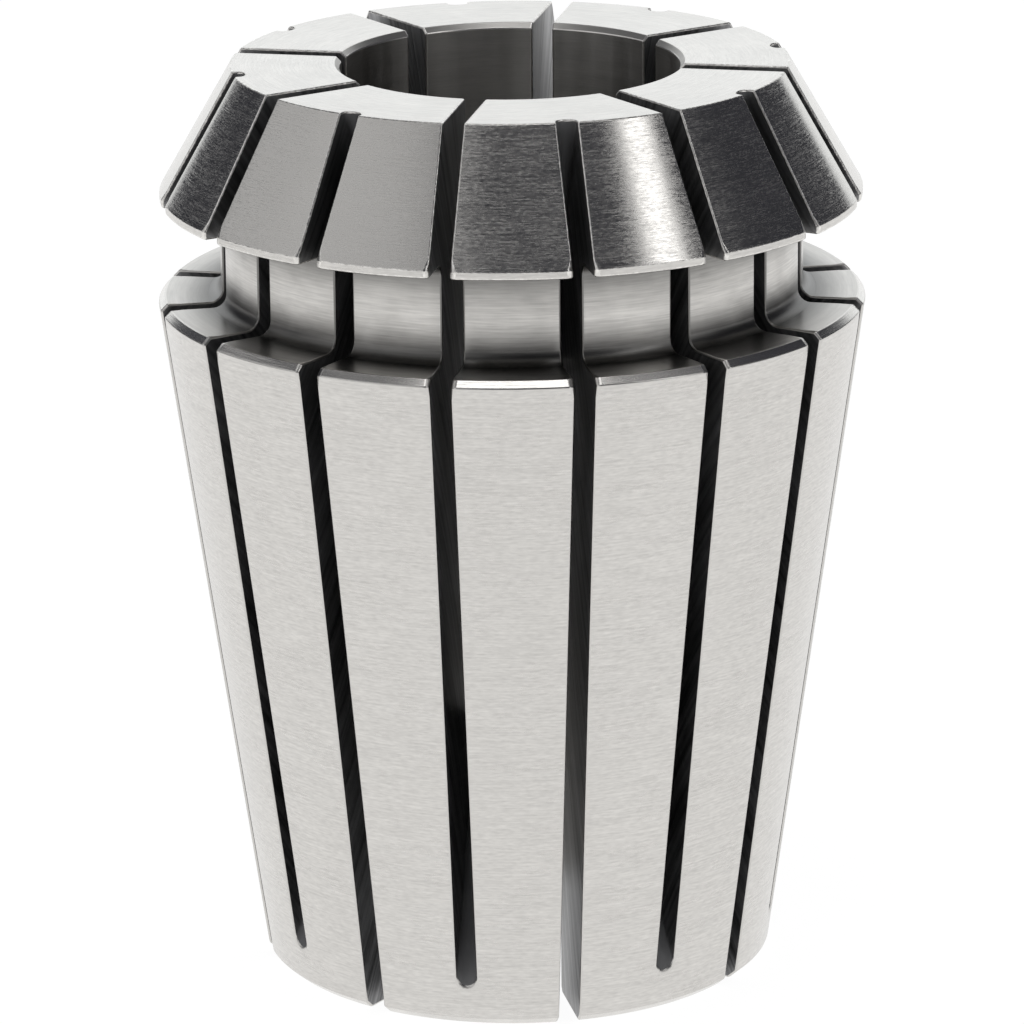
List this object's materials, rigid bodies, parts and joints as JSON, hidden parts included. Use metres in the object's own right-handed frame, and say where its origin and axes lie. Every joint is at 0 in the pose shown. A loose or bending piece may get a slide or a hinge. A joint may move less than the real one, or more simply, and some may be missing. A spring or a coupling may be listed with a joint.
{
  "type": "er collet",
  "caption": "Tapered spring collet slotted from both ends, with an extraction groove, a short head cone and a straight clamping bore.",
  "frame": {"origin": "centre of the small end's flat face, which the collet stands on", "axes": "+Z along the collet's axis, from the small end towards the head"},
  "size_m": [0.026, 0.026, 0.034],
  "materials": {
    "steel": "ground tapers and bore, turned groove and front face, sawn slots"
  },
  "bodies": {
    "root": {"collet": "steel"}
  },
  "joints": []
}
